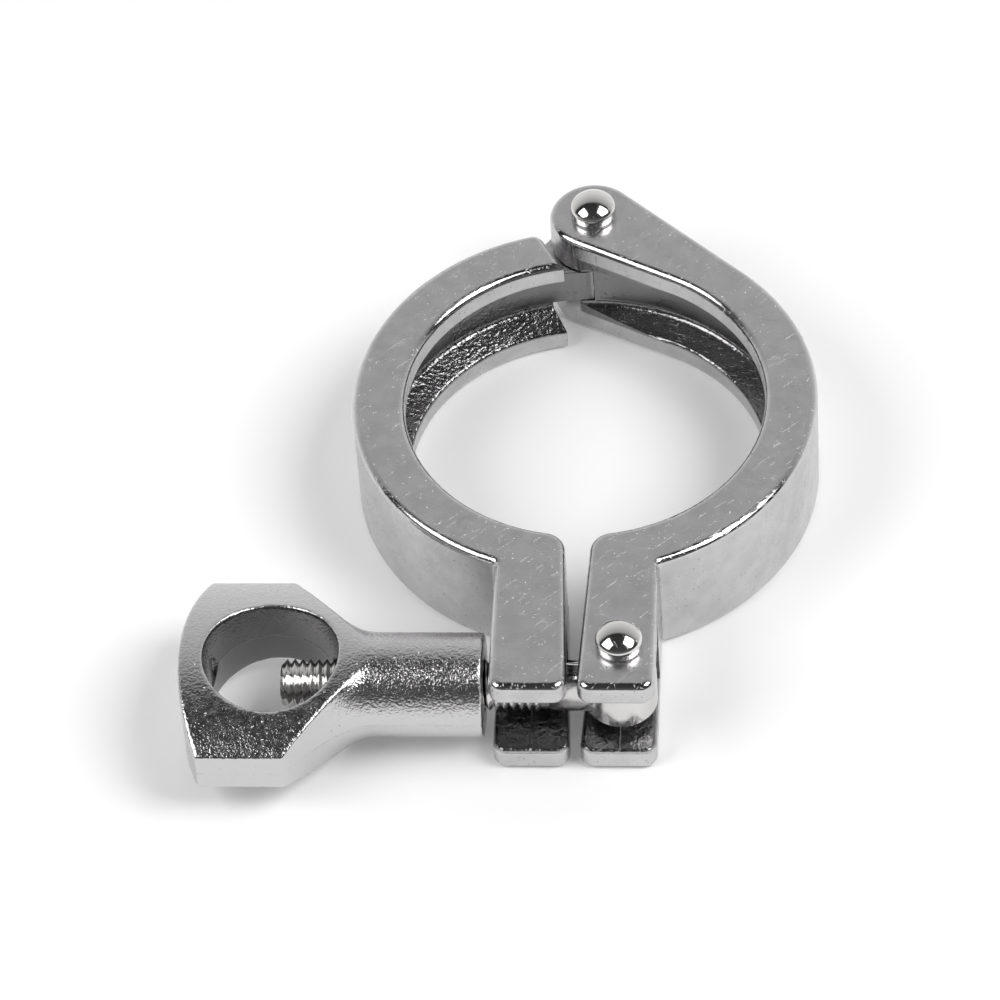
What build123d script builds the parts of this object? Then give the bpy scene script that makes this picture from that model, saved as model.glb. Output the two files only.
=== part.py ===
# Sanitary hinged clamp for 64 mm (2 inch) ferrules, closed, lying on its side face.
# Millimetres. The origin is the middle of the gripped joint: the bore axis is Z and z = 0
# is the plane of the gasket. The hinge is at the back (+Y), the swing bolt runs along X
# in front (-Y). "Plan" is the view down Z.
from math import asin, atan2, cos, degrees, radians, sin, sqrt, tan
import os

from build123d import *

os.makedirs("parts", exist_ok=True)

# ---------------------------------------------------------------- driving dimensions
# the gripped joint: a 64 mm flange with 20 degree faces on each side
bore_d = 58.0            # clear bore inside the two lips
groove_depth = 4.6       # V-groove, from the bore to its bottom
groove_mouth = 12.0      # groove width at the bore
groove_angle = 20.0      # each groove wall, the ferrule standard
ring_wall = 3.8          # wall outside the groove
body_w = 20.0            # axial width of both halves

# lugs in front, one on each half
lug_side = 12.9          # outer face of a lug, from the split plane
lug_out = 23.4           # front end of the lugs, from the ring
gap_root = 2.1           # half gap between the lugs at the bore ...
gap_tip = 0.7            # ... and at their front ends: the gap tapers
ear_t = 4.25             # thickness of each lug ear
slot_out = 7.9           # back wall of the slot between the ears, from the ring

# hinge at the back
pin_out = 3.2            # hinge pin, from the ring
hinge_r = 7.2            # round end of the right half's ears
tongue_r = 6.4           # round end of the left half's tongue
tongue_t = 6.4           # its thickness
tongue_gap = 0.3         # air above and below the tongue
slot_air = 0.6           # air round the tongue's end
slot_open = radians(20)  # the tongue's slot has a back wall up to this direction
end_dist = 9.8           # left half's end face, from the hinge pin
end_angle = radians(29.5)  # direction of that face's normal

# rivets
pin_d = 5.0
pin_head_d = 7.5
pin_head_foot = 0.5      # rounding under the head
pin_head_rim = 1.3       # where the dome begins
pin_head_h = 3.7
pin_shoulder = 1.5       # rounding where the dome meets the rim
pin_flare_d = 6.6        # peened lower end, in a countersink
pin_flare_h = 0.8
fit = 0.05               # running clearance on the radius, pins in holes

# swing bolt, M8 x 1.25
bolt_x = 7.2             # bolt pin, from the split plane ...
bolt_out = 14.6          # ... and from the ring
thread_d = 7.96
thread_from = -5.0       # the thread starts inside the left lug's slot
relief_w = 1.2           # relief groove beside it
relief_depth = 0.35
bolt_end = -46.0
bolt_chamfer = 0.9
eye_d = 11.3
eye_t = 7.2

# wing nut
lug_air = 1.2            # from the nut's face to the lug
barrel_l = 17.3          # round barrel, up to where it opens into the head
flare_l = 13.2           # from there to the flat wing tips
tip_l = 13.2             # length of the flat on each tip
head_l = 17.2            # from the tips' near end to the outer end, on the axis
barrel_d = 16.6
thread_fit = 0.06        # plain bore round the plain thread
head_tip = 17.9          # half width over the wings
hole_at = 2.7            # finger hole's centre, past the near end of the tips
hole_d = 20.0            # at mid height, opening both ways with draft
hole_open_d = 21.4
crown = 8.0              # half thickness of the head on the axis ...
crown_tip = 3.6          # ... and at the wing tips
ridge_w = 2.8            # half width where the wings' ridges run out on the barrel

# roundings of the castings
edge_r = 1.2             # outer edges
slot_edge_r = 0.9        # edges of the slots between ears
lip_edge_r = 0.7         # edges of the groove's lips
corner_r = 2.2           # corners of the lugs, seen in plan
nut_edge_r = 0.5

# ---------------------------------------------------------------- places that follow
bore_r = bore_d / 2
groove_r = bore_r + groove_depth
ring_r = groove_r + ring_wall
half_w = body_w / 2
beyond = 2 * ring_r      # safely outside the ring, for cuts
lug_front = ring_r + lug_out
slot_back = ring_r + slot_out
pin_y = ring_r + pin_out
bolt_y = -ring_r - bolt_out
slot_half = half_w - ear_t


def gap_x(y):
    """Half gap between the halves at a plan position y (negative, in front)."""
    return gap_tip + (gap_root - gap_tip) * (y + lug_front) / (lug_front - bore_r)


# the hinge arm is the straight band that wraps the ring and the round hinge end:
# its outer edge is tangent to both circles
n_y = (ring_r - hinge_r) / pin_y
n_x = sqrt(1 - n_y**2)
arm_ring = (ring_r * n_x, ring_r * n_y)
arm_ear = (hinge_r * n_x, pin_y + hinge_r * n_y)
# its inner edge is tangent to the bore and to the hinge end, and crosses between them
arm_root = asin((bore_r + hinge_r) / pin_y)
in_bore = (bore_r * cos(arm_root), bore_r * sin(arm_root))
in_ear = (-hinge_r * cos(arm_root), pin_y - hinge_r * sin(arm_root))

# V-groove section, as radius and height
mouth_h = groove_mouth / 2
floor_h = mouth_h - groove_depth * tan(radians(groove_angle))
groove_back = bore_r - 2 * groove_depth
lip_h = mouth_h + 2 * lip_edge_r

with BuildSketch(Plane.XZ) as groove:
    with BuildLine():
        Polyline(
            (groove_back, -lip_h), (bore_r, -lip_h), (bore_r, -mouth_h),
            (groove_r, -floor_h), (groove_r, floor_h), (bore_r, mouth_h),
            (bore_r, lip_h), (groove_back, lip_h), close=True,
        )
    make_face()
    fillet(groove.vertices().sort_by(Axis.X)[-2:], 1.0)
    for side in (-mouth_h, mouth_h):
        fillet(groove.vertices().sort_by_distance((bore_r, side))[0], lip_edge_r)


def slot_edges(half):
    """The edges of a lug's two ears where they face the slot, all but its back wall's."""
    level = [e for e in half.edges() if abs(abs(e.center().Z) - slot_half) < 0.01]
    return [e for e in level if e.center().Y < -slot_back - 0.01]


# ---------------------------------------------------------------- right half (cast)
with BuildPart() as right_half:
    with BuildSketch(Plane.XY.offset(-half_w)) as right_plan:
        Circle(ring_r)
        Circle(bore_r, mode=Mode.SUBTRACT)
        with BuildLine():
            Polyline(
                (gap_x(-beyond), -beyond), (gap_x(-bore_r / 2), -bore_r / 2),
                (0, -bore_r / 2), (0, beyond), (-beyond, beyond), (-beyond, -beyond),
                close=True,
            )
        make_face(mode=Mode.SUBTRACT)
        with BuildLine():
            Polyline(arm_ring, arm_ear, in_ear, in_bore, close=True)
        make_face()
        with Locations((0, pin_y)):
            Circle(hinge_r)
        with BuildLine():
            Polyline(
                (gap_x(-bore_r - 1), -bore_r - 1), (gap_tip, -lug_front),
                (lug_side, -lug_front), (lug_side, -bore_r - 1), close=True,
            )
        make_face()
        with BuildLine():
            Polyline(in_bore, in_ear, (in_ear[0], 0), (in_bore[0], 0), close=True)
        make_face(mode=Mode.SUBTRACT)
        fillet(right_plan.vertices().sort_by(Axis.Y)[:2], corner_r)
        fillet(right_plan.vertices().sort_by_distance((gap_root, -bore_r))[0], 3.5)
        outer = (lug_side, -sqrt(ring_r**2 - lug_side**2))
        fillet(right_plan.vertices().sort_by_distance(outer)[0], 1.0)
    extrude(amount=body_w)
    fillet(right_half.faces().sort_by(Axis.Z)[-1].edges(), edge_r)
    fillet(right_half.faces().sort_by(Axis.Z)[0].edges(), edge_r)
    add(groove.sketch)
    revolve(axis=Axis.Z, mode=Mode.SUBTRACT)
    # slot between the lug ears, open in front and to both sides
    with Locations((lug_side, -slot_back - lug_out)):
        Box(2 * lug_out, 2 * lug_out, 2 * slot_half, mode=Mode.SUBTRACT)
    fillet(slot_edges(right_half), slot_edge_r)
    # slot for the tongue: a round back wall beside the pin, open all round the left
    with BuildSketch(Plane.XY.offset(-tongue_t / 2 - tongue_gap)):
        with Locations((0, pin_y)):
            Circle(tongue_r + slot_air)
        with BuildLine():
            Polyline(
                (0, pin_y), (beyond * cos(slot_open), pin_y + beyond * sin(slot_open)),
                (-beyond, pin_y + beyond), (-beyond, 0), (0, 0), close=True,
            )
        make_face()
    extrude(amount=tongue_t + 2 * tongue_gap, mode=Mode.SUBTRACT)
    # pin holes with a countersink below for the peened end
    with Locations((0, pin_y), (bolt_x, bolt_y)):
        Cylinder(pin_d / 2 + fit, 2 * body_w, mode=Mode.SUBTRACT)
        with Locations((0, 0, pin_flare_h / 2 - half_w)):
            Cone(pin_flare_d / 2 + fit, pin_d / 2 + fit, pin_flare_h, mode=Mode.SUBTRACT)
right_half.part.label = "right_half"

# ---------------------------------------------------------------- left half (cast)
e_n = (cos(end_angle), sin(end_angle))
e_p = (-end_dist * e_n[0], pin_y - end_dist * e_n[1])
e_d = (beyond * e_n[1], -beyond * e_n[0])

with BuildPart() as left_half:
    with BuildSketch(Plane.XY.offset(-half_w)) as left_plan:
        Circle(ring_r)
        Circle(bore_r, mode=Mode.SUBTRACT)
        with BuildLine():
            Polyline(
                (-gap_x(-beyond), -beyond), (-gap_x(-bore_r / 2), -bore_r / 2),
                (0, -bore_r / 2), (0, 0), (e_p[0] + e_d[0] / 4, e_p[1] + e_d[1] / 4),
                (e_p[0] - e_d[0], e_p[1] - e_d[1]), (beyond, beyond), (beyond, -beyond),
                close=True,
            )
        make_face(mode=Mode.SUBTRACT)
        with BuildLine():
            Polyline(
                (-gap_x(-bore_r - 1), -bore_r - 1), (-gap_tip, -lug_front),
                (-lug_side, -lug_front), (-lug_side, -bore_r - 1), close=True,
            )
        make_face()
        fillet(left_plan.vertices().sort_by(Axis.Y)[:2], corner_r)
        fillet(left_plan.vertices().sort_by_distance((-gap_root, -bore_r))[0], 3.5)
        outer = (-lug_side, -sqrt(ring_r**2 - lug_side**2))
        fillet(left_plan.vertices().sort_by_distance(outer)[0], 1.0)
        # the two corners of its end face, beside the hinge
        end_corners = left_plan.vertices().sort_by(Axis((0, 0, 0), (*e_n, 0)))[-2:]
        fillet(end_corners.sort_by(Axis.Y)[-1], 2.0)
        fillet(end_corners.sort_by(Axis.Y)[0], 1.6)
    extrude(amount=body_w)
    fillet(left_half.faces().sort_by(Axis.Z)[-1].edges(), edge_r)
    fillet(left_half.faces().sort_by(Axis.Z)[0].edges(), edge_r)
    with Locations((-lug_side, -slot_back - lug_out)):
        Box(2 * lug_out, 2 * lug_out, 2 * slot_half, mode=Mode.SUBTRACT)
    fillet(slot_edges(left_half), slot_edge_r)
    # hinge tongue, from inside the ring to its round end at the pin
    with BuildSketch(Plane.XY.offset(-tongue_t / 2)) as tongue:
        with BuildLine():
            CenterArc((0, pin_y), tongue_r, 0, 360)
            Polyline(
                (-end_dist - 4, bore_r + 1), (-end_dist - 2, ring_r - 2.5),
                (-end_dist, ring_r - 1.8), close=True,
            )
        make_hull()
    extrude(amount=tongue_t)
    add(groove.sketch)
    revolve(axis=Axis.Z, mode=Mode.SUBTRACT)
    with Locations((0, pin_y)):
        Cylinder(pin_d / 2 + fit, 2 * body_w, mode=Mode.SUBTRACT)
left_half.part.label = "left_half"

# ---------------------------------------------------------------- rivets
# the head's dome is a large arc over a rounded shoulder, tangent to each other
head_r = pin_head_d / 2
rim_top = half_w + pin_head_rim
dome_h = pin_head_h - pin_head_rim
inset = head_r - pin_shoulder
drop = (inset**2 - (dome_h - pin_shoulder)**2) / (2 * (dome_h - pin_shoulder))
shoulder_end = degrees(atan2(drop, inset))


def rivet(label, x, y):
    """Round-headed rivet standing at (x, y): domed head on top, lower end peened flush."""
    seat = Plane(origin=(x, y, 0), x_dir=(1, 0, 0), z_dir=(0, -1, 0))
    with BuildPart() as pin:
        with BuildSketch(seat):
            with BuildLine():
                Polyline(
                    (0, rim_top + dome_h), (0, fit - half_w), (pin_flare_d / 2, fit - half_w),
                    (pin_d / 2, pin_flare_h - half_w), (pin_d / 2, half_w),
                    (head_r - pin_head_foot, half_w),
                )
                CenterArc((head_r - pin_head_foot, half_w + pin_head_foot), pin_head_foot, -90, 90)
                Line((head_r, half_w + pin_head_foot), (head_r, rim_top))
                CenterArc((inset, rim_top), pin_shoulder, 0, shoulder_end)
                CenterArc((0, rim_top - drop), dome_h + drop, shoulder_end, 90 - shoulder_end)
            make_face()
        revolve(axis=Axis((x, y, 0), (0, 0, 1)))
    pin.part.label = label
    return pin


hinge_pin = rivet("hinge_pin", 0, pin_y)
bolt_pin = rivet("bolt_pin", bolt_x, bolt_y)

# ---------------------------------------------------------------- swing bolt (eye bolt)
bolt_section = Plane(origin=(0, bolt_y, 0), x_dir=(0, 1, 0), z_dir=(1, 0, 0))

with BuildPart() as swing_bolt:
    # the eye is a flat round boss that stands between the lug's ears
    with BuildSketch(Plane.XY.offset(-eye_t / 2)):
        with Locations((bolt_x, bolt_y)):
            Circle(eye_d / 2)
    extrude(amount=eye_t)
    fillet(swing_bolt.edges(), 0.4)
    with BuildSketch(bolt_section.offset(bolt_end)):
        Circle(thread_d / 2)
    extrude(amount=bolt_x - bolt_end)
    chamfer(swing_bolt.faces().sort_by(Axis.X)[0].edges(), bolt_chamfer)
    # the shank is flattened to the eye's thickness where it runs into it
    with Locations((bolt_x, bolt_y, eye_t), (bolt_x, bolt_y, -eye_t)):
        Box(eye_d, eye_d, eye_t, mode=Mode.SUBTRACT)
    # thread relief: the shank steps down for a moment where the thread runs out
    with BuildSketch(bolt_section.offset(thread_from)):
        Circle(thread_d)
        Circle(thread_d / 2 - relief_depth, mode=Mode.SUBTRACT)
    extrude(amount=relief_w, mode=Mode.SUBTRACT)
    with Locations((bolt_x, bolt_y)):
        Cylinder(pin_d / 2 + fit, 2 * eye_t, mode=Mode.SUBTRACT)
swing_bolt.part.label = "swing_bolt"

# ---------------------------------------------------------------- wing nut (one casting)
barrel_r = barrel_d / 2
nut_end = -lug_side - lug_air
neck_x = nut_end - barrel_l
tip_from = neck_x - flare_l
tip_to = tip_from - tip_l
nut_far = tip_from - head_l
hole_x = tip_from - hole_at
tip_bulge = 0.1
seam = 0.01              # keeps a section's four arcs apart where they make a circle
ridge_start = 0.12       # how softly the ridges leave the barrel


def crown_h(w):
    """Height of the crowned top over the wings at half width w."""
    return crown - (crown - crown_tip) * (w / head_tip) ** 2


def nut_section(u):
    """Section of the nut, a share u of the way from its round barrel to its wing tips.

    Top and bottom are arcs between the wings' ridges, and the two sides swell a little
    past the ridges: all four together are a circle at the barrel.
    """
    run = (sqrt(u**2 + ridge_start**2) - ridge_start) / (sqrt(1 + ridge_start**2) - ridge_start)
    w = ridge_w + (head_tip - ridge_w) * run
    ridge_drop = crown_h(ridge_w) - sqrt(barrel_r**2 - ridge_w**2)
    edge_h = crown_h(w) - (1 - u) * ridge_drop
    top_h = barrel_r + (crown - barrel_r) * u - seam
    side = barrel_r + (head_tip + tip_bulge - barrel_r) * u**1.7 - 4 * seam * (1 - u)
    with BuildSketch(bolt_section.offset(neck_x - u * flare_l)) as section:
        with BuildLine():
            ThreePointArc((-w, edge_h), (0, top_h), (w, edge_h))
            ThreePointArc((w, edge_h), (side, 0), (w, -edge_h))
            ThreePointArc((w, -edge_h), (0, -top_h), (-w, -edge_h))
            ThreePointArc((-w, -edge_h), (-side, 0), (-w, edge_h))
        make_face()
    return section.sketch


def follows_hole(edge):
    """Whether an edge runs round the finger hole."""
    points = [edge.position_at(share) for share in (0.1, 0.5, 0.9)]
    spread = (hole_open_d - hole_d) / 2
    off = [sqrt((p.X - hole_x) ** 2 + (p.Y - bolt_y) ** 2) - hole_d / 2 for p in points]
    return all(-0.01 < o < spread for o in off)


with BuildPart() as wing_nut:
    # neck: the round barrel opens into the flat-sided head
    loft([nut_section(step / 6) for step in range(7)])
    # head, with the flat wing tips, rounded off in plan at its outer end
    extrude(nut_section(1), amount=-beyond / 3)
    with BuildSketch(Plane.XY.offset(-body_w)) as trim:
        with Locations((tip_from, bolt_y)):
            Rectangle(beyond, beyond, align=(Align.MAX, Align.CENTER))
        with BuildLine(Plane(origin=(0, bolt_y, 0))):
            Polyline(
                (tip_to, -head_tip - 1), (tip_from, -head_tip - 1),
                (tip_from, head_tip + 1), (tip_to, head_tip + 1),
            )
            ThreePointArc((tip_to, head_tip + 1), (nut_far, 0), (tip_to, -head_tip - 1))
        make_face(mode=Mode.SUBTRACT)
    extrude(amount=2 * body_w, mode=Mode.SUBTRACT)
    # barrel, carried on from the neck's first section
    extrude(nut_section(0), amount=barrel_l)
    fillet(wing_nut.faces().sort_by(Axis.X)[-1].edges(), nut_edge_r)
    # tapped bore, from the barrel's face to the finger hole
    with BuildSketch(bolt_section.offset(nut_end)):
        Circle(thread_d / 2 + thread_fit)
    extrude(amount=hole_x - nut_end, mode=Mode.SUBTRACT)
    # finger hole: draft both ways from the parting line at mid height
    for side in (1, -1):
        with BuildSketch(Plane.XY) as waist:
            with Locations((hole_x, bolt_y)):
                Circle(hole_d / 2)
        with BuildSketch(Plane.XY.offset(side * (crown + 1))) as mouth:
            with Locations((hole_x, bolt_y)):
                Circle(hole_open_d / 2)
        loft([waist.sketch, mouth.sketch], mode=Mode.SUBTRACT)
    # rims of the hole, and the two long edges round the head's outer end
    top_edges = [e for e in wing_nut.edges() if abs(e.center().Z) > crown_tip]
    rims = [e for e in top_edges if follows_hole(e)]
    end_edges = [e for e in top_edges if e.center().X < nut_far + 0.2 and not follows_hole(e)]
    fillet(rims, 0.8 * nut_edge_r)
    fillet(end_edges, nut_edge_r)
wing_nut.part.label = "wing_nut"

# ---------------------------------------------------------------- write
for piece in (right_half, left_half, hinge_pin, bolt_pin, swing_bolt, wing_nut):
    export_step(piece.part, f"parts/{piece.part.label}.step")
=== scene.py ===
# %% [markdown]
# # A sanitary hinged clamp in Blender
# The clamp closes two pipe ferrules together. Two cast halves swing on a riveted hinge,
# and a swing bolt with a large wing nut pulls their front lugs together. The solid
# pieces come from the CAD frame with their true sizes. Here they get their finish, the
# bolt gets its real thread, the nut its cast skin, and the scene its light and camera.
# Blender works in metres, so sizes are written in millimetres and multiplied by MM. The
# origin is on the bore axis, in the middle plane of the clamp.

# %% Load the frame
from math import cos, pi, radians, sin

import bmesh
import bpy
from mathutils import Matrix, Vector, noise


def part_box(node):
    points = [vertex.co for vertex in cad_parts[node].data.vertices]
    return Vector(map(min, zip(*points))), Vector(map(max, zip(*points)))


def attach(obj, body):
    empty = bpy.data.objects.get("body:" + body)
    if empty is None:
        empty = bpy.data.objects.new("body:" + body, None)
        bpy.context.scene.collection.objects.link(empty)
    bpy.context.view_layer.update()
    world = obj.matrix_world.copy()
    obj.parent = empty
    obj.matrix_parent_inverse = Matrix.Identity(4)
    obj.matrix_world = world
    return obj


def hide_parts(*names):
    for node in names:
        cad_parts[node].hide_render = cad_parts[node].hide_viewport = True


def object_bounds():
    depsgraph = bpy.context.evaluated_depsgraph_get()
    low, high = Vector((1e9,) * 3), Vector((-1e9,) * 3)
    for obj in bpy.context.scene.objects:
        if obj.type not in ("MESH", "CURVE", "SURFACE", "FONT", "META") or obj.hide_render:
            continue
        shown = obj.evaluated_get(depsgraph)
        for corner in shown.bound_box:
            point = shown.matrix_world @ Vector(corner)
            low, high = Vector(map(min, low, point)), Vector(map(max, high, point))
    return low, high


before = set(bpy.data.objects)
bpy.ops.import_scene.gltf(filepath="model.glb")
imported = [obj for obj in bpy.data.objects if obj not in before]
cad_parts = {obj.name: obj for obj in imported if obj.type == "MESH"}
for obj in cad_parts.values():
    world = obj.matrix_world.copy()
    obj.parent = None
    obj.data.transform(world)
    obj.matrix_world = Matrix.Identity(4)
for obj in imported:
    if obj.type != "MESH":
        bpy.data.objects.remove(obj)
cad_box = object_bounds()
MM = 0.001

for name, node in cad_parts.items():
    low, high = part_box(name)
    size = [round((end - start) / MM, 1) for start, end in zip(low, high)]
    print(f"{name}: {len(node.data.polygons)} faces, {size} mm")

# %% [markdown]
# ## Colour and nodes
# Hex colours are what a colour picker shows, in sRGB. Blender's shaders work in linear
# light, so one function converts them. Another small function adds a node, sets its
# properties and fills its inputs, from plain values or from other nodes' outputs. With
# these two, a material reads as a short list of what it is made of.

# %% Colour and node helpers
def linear(hex_colour):
    """An sRGB hex colour such as "c8c6c3" as linear RGBA."""
    channels = [int(hex_colour[i:i + 2], 16) / 255 for i in (0, 2, 4)]
    curve = [c / 12.92 if c <= 0.04045 else ((c + 0.055) / 1.055) ** 2.4
             for c in channels]
    return (*curve, 1.0)


def add_node(tree, kind, settings=None, inputs=None):
    """Adds one node. inputs maps sockets to values or to other nodes' outputs."""
    node = tree.nodes.new("ShaderNode" + kind)
    for key, value in (settings or {}).items():
        setattr(node, key, value)
    for key, value in (inputs or {}).items():
        socket = node.inputs[key]
        if isinstance(value, bpy.types.NodeSocket):
            tree.links.new(value, socket)
        else:
            socket.default_value = value
    return node


def new_material(name):
    """An empty node material, with its output node."""
    material = bpy.data.materials.new(name)
    material.use_nodes = True
    tree = material.node_tree
    tree.nodes.clear()
    return material, tree, add_node(tree, "OutputMaterial")


# %% [markdown]
# ## The camera
# The clamp is seen from above its front, with a long lens so that it keeps its
# proportions. The camera looks at a point between the ring and the wing nut. It could be
# placed by hand in the viewport, but it is built from two angles and a small roll here,
# so that each can be changed by itself.

# %% Camera
target = Vector((-13.5, -13.5, 0.0)) * MM
azimuth, elevation, roll = radians(5.8), radians(48.6), -0.075
distance = 1.0
sensor_width, lens_ratio = 36.0, 6.23
back = Vector((sin(azimuth) * cos(elevation),
               -cos(azimuth) * cos(elevation),
               sin(elevation)))
level = Vector((cos(azimuth), sin(azimuth), 0))
upright = back.cross(level)
right = cos(roll) * level + sin(roll) * upright
up = -sin(roll) * level + cos(roll) * upright

camera_data = bpy.data.cameras.new("camera")
camera_data.sensor_width = sensor_width
camera_data.lens = lens_ratio * sensor_width
camera_data.clip_start, camera_data.clip_end = 0.05, 10.0
camera = bpy.data.objects.new("camera", camera_data)
place = target + distance * back
camera.matrix_world = Matrix((
    (right.x, up.x, back.x, place.x),
    (right.y, up.y, back.y, place.y),
    (right.z, up.z, back.z, place.z),
    (0, 0, 0, 1),
))
bpy.context.scene.collection.objects.link(camera)
bpy.context.scene.camera = camera
bpy.context.scene.view_settings.view_transform = "Standard"
print(f"camera {distance} m away, {camera_data.lens:.0f} mm lens")

# %% [markdown]
# ## Floor and light
# Steel has hardly any colour of its own: it shows its surroundings, so the light is half
# of its finish. Shiny steel looks best on a white table with a white sweep behind it,
# under a dark ceiling, with a soft box on each side. The sweep gives the flat faces their
# grey, the table gives the walls theirs, the dark room gives the black lines along the
# rounded edges, and the soft boxes give the white ones. An evenly bright room would be
# simpler, but in it steel turns to flat grey plaster.
#
# The table is a matt white plane just under the clamp. Its small lift makes it white to
# the eye and in the metal without more light on the clamp, and it still shows the shadow.

# %% Floor
def make_floor():
    """A white table, with a small lift that the eye and the metal both see."""
    half, gap, lift_strength = 3.0, 0.02 * MM, 0.12
    material, tree, out = new_material("white_table")
    rays = add_node(tree, "LightPath").outputs
    seen = rays["Is Camera Ray"]
    for kind in ("Is Glossy Ray", "Is Transmission Ray"):
        seen = add_node(tree, "Math", {"operation": "MAXIMUM"},
                        {0: seen, 1: rays[kind]}).outputs[0]
    lit = add_node(tree, "BsdfDiffuse", inputs={"Color": linear("f3f3f3")})
    lift = add_node(tree, "Emission",
                    inputs={"Color": linear("ffffff"), "Strength": lift_strength})
    dark = add_node(tree, "Emission", inputs={"Strength": 0.0})
    extra = add_node(tree, "MixShader",
                     inputs={0: seen, 1: dark.outputs[0], 2: lift.outputs[0]})
    both = add_node(tree, "AddShader", inputs={0: lit.outputs[0], 1: extra.outputs[0]})
    tree.links.new(both.outputs[0], out.inputs["Surface"])

    height = cad_box[0][2] - gap
    corners = [(x * half, y * half, height)
               for x, y in ((-1, -1), (1, -1), (1, 1), (-1, 1))]
    mesh = bpy.data.meshes.new("floor")
    mesh.from_pydata(corners, [], [(0, 1, 2, 3)])
    floor = bpy.data.objects.new("floor", mesh)
    floor.data.materials.append(material)
    bpy.context.scene.collection.objects.link(floor)
    print(f"floor at {height / MM:.2f} mm")


make_floor()


# %% The sweep and the dark room
# (share of the way from the front horizon, over the zenith at 0.5, to the back horizon,
# brightness there)
ROOM_SHADES = [(0.0, 0.18), (0.22, 0.06), (0.60, 0.03), (0.64, 0.40), (0.76, 0.62),
               (1.0, 0.95)]


def light_room():
    """A room that is dark in front and overhead, with a white sweep low at the back."""
    world = bpy.data.worlds.new("studio")
    world.use_nodes = True
    tree = world.node_tree
    tree.nodes.clear()
    out = add_node(tree, "OutputWorld")
    toward = add_node(tree, "TexCoord").outputs["Generated"]
    axes = add_node(tree, "SeparateXYZ", inputs={0: toward}).outputs
    front = add_node(tree, "Math", {"operation": "MULTIPLY"}, {0: axes["Y"], 1: -1.0})
    swing = add_node(tree, "Math", {"operation": "ARCTAN2"},
                     {0: axes["Z"], 1: front.outputs[0]})
    share = add_node(tree, "Math", {"operation": "DIVIDE"}, {0: swing.outputs[0], 1: pi})
    shades = add_node(tree, "ValToRGB", inputs={0: share.outputs[0]})
    elements = shades.color_ramp.elements
    elements[1].position = 1.0
    for position, _ in ROOM_SHADES[1:-1]:
        elements.new(position)
    for element, (position, grey) in zip(elements, ROOM_SHADES):
        element.position, element.color = position, (grey, grey, grey, 1)
    glow = add_node(tree, "Background", inputs={0: shades.outputs[0], 1: 1.0})
    tree.links.new(glow.outputs[0], out.inputs["Surface"])
    bpy.context.scene.world = world
    print(f"room: {len(ROOM_SHADES)} shades from front to back")


light_room()


# %% Soft boxes
def hang_softbox(name, place, size, watts):
    """A square soft box that faces the clamp. The metal sees it, the camera doesn't."""
    data = bpy.data.lights.new(name, "AREA")
    data.shape, data.size, data.energy = "SQUARE", size, watts
    lamp = bpy.data.objects.new(name, data)
    lamp.location = place
    lamp.rotation_euler = (-Vector(place)).to_track_quat("-Z", "Y").to_euler()
    lamp.visible_camera = False
    bpy.context.scene.collection.objects.link(lamp)
    print(f"{name}: {size} m, {watts} W")


hang_softbox("left_softbox", (-0.90, -0.40, 0.95), 0.8, 9.0)
hang_softbox("right_softbox", (0.85, -0.20, 1.10), 0.8, 14.5)


# %% [markdown]
# ## Marks in a metal surface
# Metal shows its marks by the way they tilt the surface, more than by their colour. So
# every pattern below gives a height, the heights are added up in millimetres, and one
# bump node turns the sum into tilt. The marks could be modelled, but there are thousands
# of them, and they are far thinner than anything that shows in the outline. A scratch is
# a noise squeezed into thin long cells, with only its peaks kept. A pit is the middle of
# a Voronoi cell. Real scratches and pits are a few hundredths of a millimetre wide. They
# are drawn 0.15 to 0.3 mm wide here, because anything finer wouldn't show at this
# distance.

# %% Masks and patterns
def slope(tree, value, low, high, at_low=0.0, at_high=1.0):
    """at_low up to low, at_high from high on, straight between. low may be larger."""
    return add_node(tree, "MapRange", inputs={
        0: value, 1: low, 2: high, 3: at_low, 4: at_high}).outputs[0]


def where_both(tree, mask, other):
    """A pattern or mask, kept only where the other mask is 1."""
    return add_node(tree, "Math", {"operation": "MULTIPLY"},
                    {0: mask, 1: other}).outputs[0]


def lumps(tree, place, size_mm, detail=2.0):
    """Soft noise whose lumps are about size_mm across."""
    return add_node(tree, "TexNoise", inputs={
        "Vector": place, "Scale": 1 / (size_mm * MM), "Detail": detail}).outputs[0]


def scratches(tree, place, turn_deg, width_mm, length_mm, rarity):
    """1 inside thin marks that run at turn_deg in plan, slightly bent."""
    turned = add_node(tree, "Mapping", {"vector_type": "TEXTURE"}, {
        "Vector": place, "Rotation": (0, 0, radians(turn_deg)),
        "Scale": (width_mm * MM, length_mm * MM, length_mm * MM)}).outputs[0]
    cells = add_node(tree, "TexNoise", inputs={
        "Vector": turned, "Scale": 1.0, "Detail": 0.0, "Distortion": 0.4}).outputs[0]
    return slope(tree, cells, rarity, rarity + 0.05)


def pits(tree, place, spacing_mm, radius_mm):
    """1 in the middle of small round pits."""
    cell = add_node(tree, "TexVoronoi", inputs={
        "Vector": place, "Scale": 1 / (spacing_mm * MM)})
    share = radius_mm / spacing_mm
    return slope(tree, cell.outputs["Distance"], share, 0.4 * share)


# %% [markdown]
# A finish is then three things: a colour, a roughness, and a list of marks with their
# heights. The next two functions add up such a list and make the bare metal from all
# three. Metallic is 1 and the IOR keeps its default, because a metal's base colour
# already says how much light it returns.

# %% Bare metal
def layered(tree, base, layers):
    """base plus each pattern times its weight."""
    for pattern, weight in layers:
        base = add_node(tree, "Math", {"operation": "MULTIPLY_ADD"},
                        {0: pattern, 1: weight, 2: base}).outputs[0]
    return base


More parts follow.
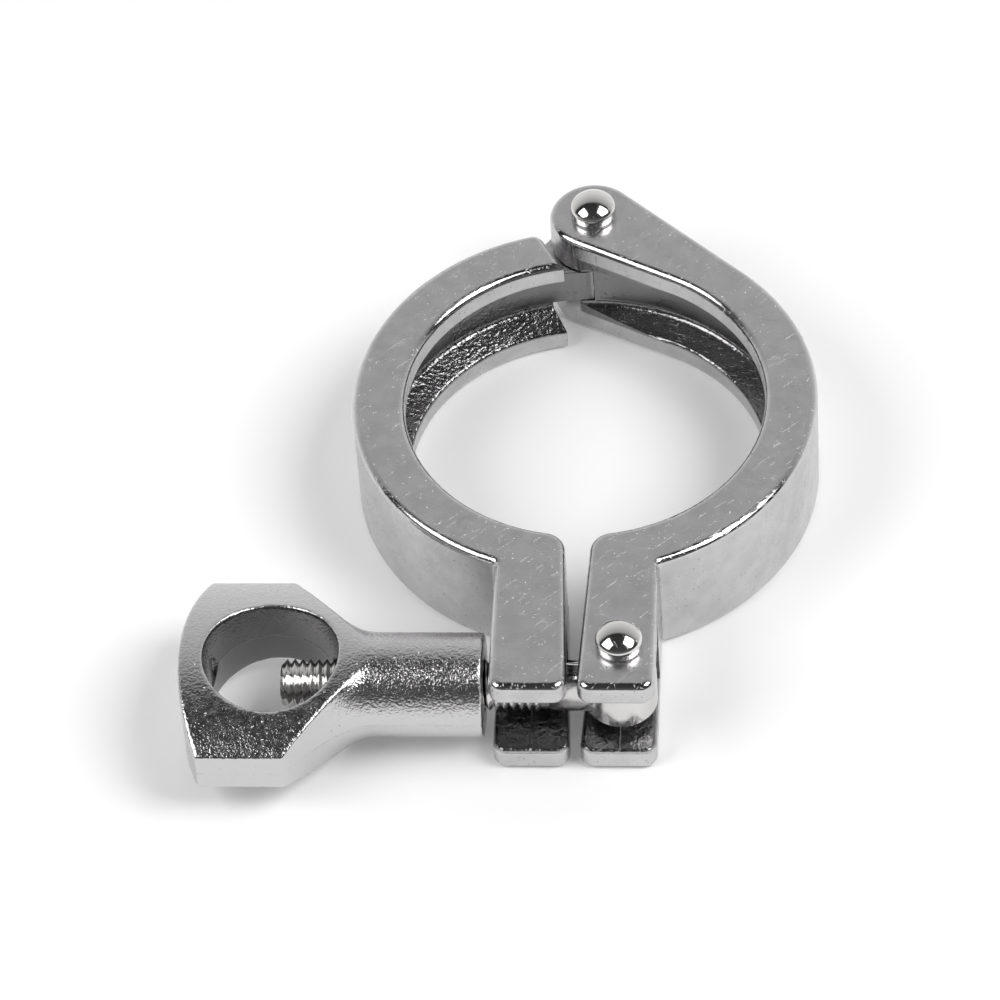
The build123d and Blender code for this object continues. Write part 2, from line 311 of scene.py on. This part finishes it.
def bare_metal(tree, out, colour, rough, marks):
    """Metal into the output node. marks are (pattern, height in mm)."""
    relief = add_node(tree, "Bump", inputs={
        "Strength": 1.0, "Distance": MM, "Height": layered(tree, 0.0, marks)})
    metal = add_node(tree, "BsdfPrincipled", inputs={
        "Base Color": colour, "Metallic": 1.0, "Roughness": rough,
        "Normal": relief.outputs[0]})
    tree.links.new(metal.outputs[0], out.inputs["Surface"])


# %% [markdown]
# ## Cast stainless steel
# Both halves are investment castings in stainless steel, tumbled in stones until they
# are satin. That leaves a soft, slightly wavy shine with fine scratches in all
# directions and a few pits. The V-groove and the slots between the ears are out of the
# stones' reach, so they keep the rougher, pebbly skin of the mould, and the slots show
# the line where the mould parted. Their colour is also painted darker there, as painted
# shade in these hollows, on the smooth hinge tongue too. The faces could be picked by
# hand and given a second material. One material does both here, because distance from
# the bore axis and height tell it where the groove and the slots are, and the change can
# be soft.

# %% Where the mould's skin is left
# All in mm. The groove is inside GROOVE_R and within GROOVE_HALF of mid height, the
# slots are in front of SLOT_Y and within SLOT_HALF of it.
GROOVE_R, GROOVE_HALF = 33.75, 6.1
SLOT_Y, SLOT_HALF = -45.2, 5.9
# The hinge tongue stands in the groove behind TONGUE_Y, and is smooth.
TONGUE_Y, TONGUE_HALF = 30.0, 3.2
# The parting line runs down each slot, SEAM_X to either side of the middle.
SEAM_X, SEAM_HALF = 6.9, 0.22


def mould_skin_and_shade(tree, axes):
    """Three masks: the mould's skin, which also carries the painted shade; its pebbly
    part; the slots.
    """
    plan = add_node(tree, "CombineXYZ", inputs={0: axes["X"], 1: axes["Y"], 2: 0.0})
    radius = add_node(tree, "VectorMath", {"operation": "LENGTH"},
                      {0: plan.outputs[0]}).outputs["Value"]
    up_down = add_node(tree, "Math", {"operation": "ABSOLUTE"}, {0: axes["Z"]}).outputs[0]
    in_groove = where_both(
        tree, slope(tree, radius, (GROOVE_R + 0.2) * MM, GROOVE_R * MM),
        slope(tree, up_down, (GROOVE_HALF + 0.4) * MM, GROOVE_HALF * MM))
    tongue = where_both(
        tree, slope(tree, axes["Y"], TONGUE_Y * MM, (TONGUE_Y + 1.5) * MM),
        slope(tree, up_down, (TONGUE_HALF + 0.2) * MM, TONGUE_HALF * MM))
    in_slot = where_both(
        tree, slope(tree, axes["Y"], (SLOT_Y + 0.3) * MM, SLOT_Y * MM),
        slope(tree, up_down, (SLOT_HALF + 0.3) * MM, SLOT_HALF * MM))
    skin = add_node(tree, "Math", {"operation": "MAXIMUM"},
                    {0: in_groove, 1: in_slot}).outputs[0]
    pebbly = where_both(tree, skin, layered(tree, 1.0, [(tongue, -1.0)]))
    return skin, pebbly, in_slot


def parting_line(tree, axes, in_slot):
    """1 on the thin line that the mould leaves down each slot."""
    aside = add_node(tree, "Math", {"operation": "ABSOLUTE"}, {0: axes["X"]})
    past = add_node(tree, "Math", {"operation": "SUBTRACT"},
                    {0: aside.outputs[0], 1: SEAM_X * MM})
    off = add_node(tree, "Math", {"operation": "ABSOLUTE"}, {0: past.outputs[0]})
    line = slope(tree, off.outputs[0], SEAM_HALF * MM, 0.06 * MM)
    return where_both(tree, line, in_slot)


def rounded_edges(tree):
    """1 where the surface is neither level nor upright. The stones polish it most."""
    facing = add_node(tree, "NewGeometry").outputs["Normal"]
    upward = add_node(tree, "SeparateXYZ", inputs={0: facing}).outputs["Z"]
    level = add_node(tree, "Math", {"operation": "ABSOLUTE"}, {0: upward}).outputs[0]
    return where_both(tree, slope(tree, level, 0.06, 0.25),
                      slope(tree, level, 0.998, 0.96))


# %% Cast stainless steel
# turn in degrees, width and length in mm, and how rare the scratches are
TUMBLING_SCRATCHES = ((12, 0.20, 3.0, 0.73), (74, 0.18, 2.0, 0.73),
                      (133, 0.20, 4.0, 0.73))


def cast_stainless(name, pebble_mm):
    """Tumbled satin steel, with the mould's pebbly skin left in groove and slots."""
    material, tree, out = new_material(name)
    place = add_node(tree, "TexCoord").outputs["Object"]
    axes = add_node(tree, "SeparateXYZ", inputs={0: place}).outputs
    skin, pebbly, in_slot = mould_skin_and_shade(tree, axes)
    clusters = slope(tree, lumps(tree, place, 4.0), 0.42, 0.56)
    specks = where_both(tree, pits(tree, place, 0.9, 0.15), clusters)
    pebbles = where_both(tree, lumps(tree, place, 0.7), pebbly)
    coarse_skin = where_both(tree, lumps(tree, place, 1.3, 3.0), in_slot)
    marks = [
        # the casting's own waviness, and the satin that the stones leave
        (lumps(tree, place, 7.0), 0.07),
        (lumps(tree, place, 0.35, 3.0), 0.012),
        *((scratches(tree, place, *lay), -0.010) for lay in TUMBLING_SCRATCHES),
        # specks that stand proud come in clusters, and pits lie far apart
        (specks, 0.10),
        (pits(tree, place, 2.9, 0.16), -0.05),
        # out of the stones' reach
        (pebbles, pebble_mm),
        (coarse_skin, 0.30),
        (parting_line(tree, axes, in_slot), 0.10),
    ]
    # satin all over, rougher in the mould's skin, glossier on the rounded edges
    rough = slope(tree, lumps(tree, place, 6.0, 5.0), 0.35, 0.65, 0.22, 0.31)
    rough = layered(tree, rough, [(skin, 0.04), (rounded_edges(tree), -0.14)])
    clouds = slope(tree, lumps(tree, place, 3.5, 4.0), 0.35, 0.65)
    colour = add_node(tree, "Mix", {"data_type": "RGBA"}, {
        "Factor": clouds, 6: linear("c9c8c9"), 7: linear("bfbebf")}).outputs[2]
    # painted shade: the groove, the slots and the tongue get a darker colour
    colour = add_node(tree, "Mix", {"data_type": "RGBA"}, {
        "Factor": skin, 6: colour, 7: linear("838283")}).outputs[2]
    bare_metal(tree, out, colour, rough, marks)
    return material


# %% [markdown]
# ## Rivets and bolt
# The rivets are turned from stainless bar and polished, so they mirror the studio: a
# light dome, a dark side, small bright spots from the soft boxes. The bolt is machined
# from stainless bar too, and its thread is rolled, which burnishes the crests. Both are
# nearly plain metal, because a mirror finish shows the room and little else.

# %% Rivet and bolt steel
def polished_pin():
    """Turned and polished stainless steel with a trace of tool marks."""
    material, tree, out = new_material("polished_rivet_steel")
    place = add_node(tree, "TexCoord").outputs["Object"]
    marks = [(lumps(tree, place, 2.5), 0.012),
             (scratches(tree, place, 35, 0.15, 3.0, 0.72), -0.004)]
    rough = slope(tree, lumps(tree, place, 1.2), 0.3, 0.7, 0.06, 0.12)
    bare_metal(tree, out, linear("dad9d8"), rough, marks)
    return material


def bolt_steel():
    """Machined stainless steel, with a roughness that varies a little."""
    material, tree, out = new_material("machined_bolt_steel")
    place = add_node(tree, "TexCoord").outputs["Object"]
    rough = slope(tree, lumps(tree, place, 0.8), 0.3, 0.7, 0.12, 0.24)
    bare_metal(tree, out, linear("d6d5d4"), rough, [(lumps(tree, place, 1.6), 0.006)])
    return material


# %% [markdown]
# ## The nut's steel
# The wing nut is cast stainless steel too, but polished with less care: the skin keeps a
# fine orange-peel grain that sparkles where it turns from light to dark. A thin parting
# line runs round it at mid height, where the two halves of the wax die met. The finger
# hole's wall is painted darker, as painted shade inside the hole. The grain
# is partly in the mesh, further down, and partly here in the bump, where it is finer
# than the mesh could hold.

# %% Nut steel
# the finger hole's middle along the bolt and its radius, and where the barrel begins
# and is fully round, all in mm
HOLE_X, HOLE_R = -47.3, 10.6
BARREL_FROM, BARREL_TO = -37.0, -31.0


def bolt_axis():
    """A point on the bolt's axis: the eye and the shank are round about it."""
    low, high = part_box("swing_bolt")
    return Vector((0, (low[1] + high[1]) / 2, (low[2] + high[2]) / 2))


def nut_stainless():
    """Polished casting with a fine grain and a parting line at mid height."""
    material, tree, out = new_material("polished_cast_nut_stainless")
    place = add_node(tree, "TexCoord").outputs["Object"]
    axes = add_node(tree, "SeparateXYZ", inputs={0: place}).outputs
    grain = lumps(tree, place, 0.40, 2.0)
    barrel = slope(tree, axes["X"], BARREL_FROM * MM, BARREL_TO * MM)
    up_down = add_node(tree, "Math", {"operation": "ABSOLUTE"}, {0: axes["Z"]}).outputs[0]
    marks = [
        # slow waviness, then the grain, which is stronger on the barrel
        (lumps(tree, place, 5.0), 0.06),
        (grain, 0.09),
        (where_both(tree, grain, barrel), 0.045),
        # the parting line, and what polishing left
        (slope(tree, up_down, 0.22 * MM, 0.05 * MM), 0.04),
        (scratches(tree, place, 20, 0.2, 4.0, 0.74), -0.004),
        (pits(tree, place, 1.6, 0.16), -0.05),
    ]
    plan = add_node(tree, "CombineXYZ", inputs={0: axes["X"], 1: axes["Y"]})
    from_hole = add_node(tree, "VectorMath", {"operation": "DISTANCE"}, {
        0: plan.outputs[0],
        1: (HOLE_X * MM, bolt_axis()[1], 0.0)}).outputs["Value"]
    # painted shade: the finger hole's wall gets a darker colour
    painted_hole_shade = slope(tree, from_hole, (HOLE_R + 0.15) * MM, HOLE_R * MM)
    colour = add_node(tree, "Mix", {"data_type": "RGBA"}, {
        "Factor": painted_hole_shade, 6: linear("cbcacb"), 7: linear("8b8a8a")}).outputs[2]
    rough = slope(tree, lumps(tree, place, 1.0, 3.0), 0.35, 0.65, 0.14, 0.24)
    bare_metal(tree, out, colour, rough, marks)
    return material


# %% Put the finishes on
# the left half keeps a rougher mould skin: its pebbles are 0.17 mm high, the right
# half's are 0.07 mm
finishes = {
    "right_half": cast_stainless("tumbled_cast_stainless", 0.07),
    "left_half": cast_stainless("tumbled_cast_stainless_pebbly", 0.17),
    "hinge_pin": polished_pin(),
    "swing_bolt": bolt_steel(),
    "wing_nut": nut_stainless(),
}
finishes["bolt_pin"] = finishes["hinge_pin"]
for name, finish in finishes.items():
    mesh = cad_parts[name].data
    mesh.materials.clear()
    mesh.materials.append(finish)
    print(f"{name}: {finish.name}, {len(finish.node_tree.nodes)} nodes")


# %% [markdown]
# ## The nut's cast skin
# The CAD nut has true ridges, as sharp as a knife. A casting that has been polished has
# none. A bevel could round them, but it stumbles where the neck's many narrow faces
# meet. A voxel remesh doesn't mind what the faces were: it gives the nut an even net of
# small ones, a few passes of smoothing round its ridges off by about half a millimetre,
# and then each point moves in by a few hundredths, as the cast grain does. The tapped
# bore is set back to its true radius afterwards, so that the bolt still runs freely in it.

# %% Rounded ridges
def soft_copy(node, voxel, passes):
    """A CAD node's surface as an even net of small faces, smoothed passes times."""
    source = bmesh.new()
    source.from_mesh(node.data)
    bmesh.ops.remove_doubles(source, verts=source.verts, dist=1e-7)
    mesh = bpy.data.meshes.new("nut_source")
    source.to_mesh(mesh)
    source.free()
    work = bpy.data.objects.new("nut_source", mesh)
    bpy.context.scene.collection.objects.link(work)
    net = work.modifiers.new("net", "REMESH")
    net.mode, net.voxel_size, net.use_smooth_shade = "VOXEL", voxel, True
    soften = work.modifiers.new("soften", "SMOOTH")
    soften.factor, soften.iterations = 0.5, passes
    depsgraph = bpy.context.evaluated_depsgraph_get()
    skin = bpy.data.meshes.new_from_object(work.evaluated_get(depsgraph))
    bpy.data.objects.remove(work)
    return skin


def grain_height(point):
    """Cast grain at a point, in metres: lumps of 1 and 0.5 mm, all cut inwards."""
    coarse = noise.noise(point / (1.0 * MM))
    fine = noise.noise(point / (0.5 * MM) + Vector((31, 7, 19)))
    return (0.018 * coarse + 0.018 * fine - 0.04) * MM


# %% Cast nut
def cast_nut():
    """The wing nut as a polished casting, in place of the CAD nut."""
    bore_r, reach = 4.12 * MM, 0.3 * MM
    skin = soft_copy(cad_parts["wing_nut"], voxel=0.28 * MM, passes=5)
    skin.name = "wing_nut_cast"
    axis = bolt_axis()
    moved = 0
    # the normals are read once, before any point moves
    normals = [vertex.normal.copy() for vertex in skin.vertices]
    for vertex, normal in zip(skin.vertices, normals):
        across = Vector((0, vertex.co.y - axis.y, vertex.co.z - axis.z))
        if across.length < bore_r + reach and normal.dot(across) < 0:
            vertex.co += across.normalized() * (bore_r - across.length)
            moved += 1
        else:
            vertex.co += normal * grain_height(vertex.co)
    nut = bpy.data.objects.new("wing_nut_cast", skin)
    skin.materials.clear()
    skin.materials.append(finishes["wing_nut"])
    bpy.context.scene.collection.objects.link(nut)
    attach(nut, "wing_nut")
    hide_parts("wing_nut")
    print(f"nut: {len(skin.polygons)} faces, {moved} points on the bore")


cast_nut()


# %% [markdown]
# ## The swing bolt's thread
# The bolt carries an M8 thread with a pitch of 1.25 mm. A bump could draw it, but its
# outline would stay smooth, and the outline is what shows in the finger hole. A screw
# modifier could wind it, but not the run-out and the chamfered end. So it is built point
# by point. A thread is one ridge wound round and round, which makes the mesh a sheared
# grid: its rows go once round the bolt and a pitch further on, and each point of the
# profile gives a row. The eye and the shank come from the CAD solid.

# %% The thread's surface
PITCH, CREST_R, ROOT_R = 1.25 * MM, 3.98 * MM, 3.32 * MM
# radii of the relief groove behind the thread and of the chamfered end's face
RELIEF_R, END_R = 3.63 * MM, 3.08 * MM
# the thread's last point, and the place in the relief groove where the shank takes over
STOP_X, JOIN_X = -5.0 * MM, -4.4 * MM
# one pitch: root flat, rising flank, crest flat, falling flank
PROFILE = [(0.0, ROOT_R), (0.10, ROOT_R), (0.46, CREST_R), (0.60, CREST_R),
           (0.96, ROOT_R)]
# points in one turn, and the length over which the thread fades into the relief groove
STEPS = 72
RUN_OUT = 0.6 * PITCH


def thread_radius(x, r, start):
    """Radius at x, with the chamfered end and the thread's run-out."""
    r = min(r, END_R + max(0.0, x - start))
    run_out = min(1.0, max(0.0, (STOP_X - x) / RUN_OUT))
    return RELIEF_R + (r - RELIEF_R) * run_out


def wind_thread():
    """The thread's surface from the bolt's tip to STOP_X, closed at the tip."""
    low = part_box("swing_bolt")[0]
    start = low[0]
    axis_y, axis_z = bolt_axis()[1:]
    turns = round((STOP_X - start) / PITCH) + 3
    bm = bmesh.new()
    rows = []
    for turn in range(-2, turns):
        for share, r in PROFILE:
            row = []
            for step in range(STEPS + 1):
                x = start + (turn + share + step / STEPS) * PITCH
                x = min(max(x, start), STOP_X)
                a = 2 * pi * step / STEPS
                radius = thread_radius(x, r, start)
                row.append(bm.verts.new(
                    (x, axis_y + radius * cos(a), axis_z + radius * sin(a))))
            rows.append(row)
    for first, second in zip(rows, rows[1:]):
        for step in range(STEPS):
            bm.faces.new((first[step], first[step + 1], second[step + 1], second[step]))
    bmesh.ops.remove_doubles(bm, verts=bm.verts, dist=1e-7)
    bmesh.ops.dissolve_degenerate(bm, edges=bm.edges, dist=1e-8)
    ends = [e for e in bm.edges if len(e.link_faces) == 1]
    print("thread:", len(bm.faces), "faces,", len(ends), "open edges")
    bmesh.ops.holes_fill(bm, edges=[e for e in ends if e.verts[0].co.x < start + 1e-6])
    return bm


# %% Thread and shank in one
def cut_shank():
    """The CAD bolt without its plain thread cylinder, as a mesh."""
    shank = bmesh.new()
    shank.from_mesh(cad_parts["swing_bolt"].data)
    bmesh.ops.remove_doubles(shank, verts=shank.verts, dist=1e-7)
    cut = bmesh.ops.bisect_plane(
        shank, geom=shank.verts[:] + shank.edges[:] + shank.faces[:],
        plane_co=(JOIN_X, 0, 0), plane_no=(1, 0, 0), clear_inner=True)
    print("cut:", len([g for g in cut["geom_cut"] if isinstance(g, bmesh.types.BMEdge)]))
    piece = bpy.data.meshes.new("bolt_shank")
    shank.to_mesh(piece)
    return piece


def threaded_bolt():
    """The CAD bolt with its plain cylinder swapped for a real helical thread."""
    bm = wind_thread()
    bm.from_mesh(cut_shank())
    loops = [e for e in bm.edges if len(e.link_faces) == 1]
    bmesh.ops.bridge_loops(bm, edges=loops)
    bmesh.ops.recalc_face_normals(bm, faces=bm.faces)
    mesh = bpy.data.meshes.new("swing_bolt_threaded")
    bm.to_mesh(mesh)
    print("bolt:", len(mesh.polygons), "faces, open edges:",
          len([e for e in bm.edges if len(e.link_faces) != 2]))
    for face in mesh.polygons:
        face.use_smooth = True
    mesh.set_sharp_from_angle(angle=radians(28))
    bolt = bpy.data.objects.new("swing_bolt_threaded", mesh)
    bolt.data.materials.append(finishes["swing_bolt"])
    bpy.context.scene.collection.objects.link(bolt)
    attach(bolt, "swing_bolt")
    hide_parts("swing_bolt")


threaded_bolt()
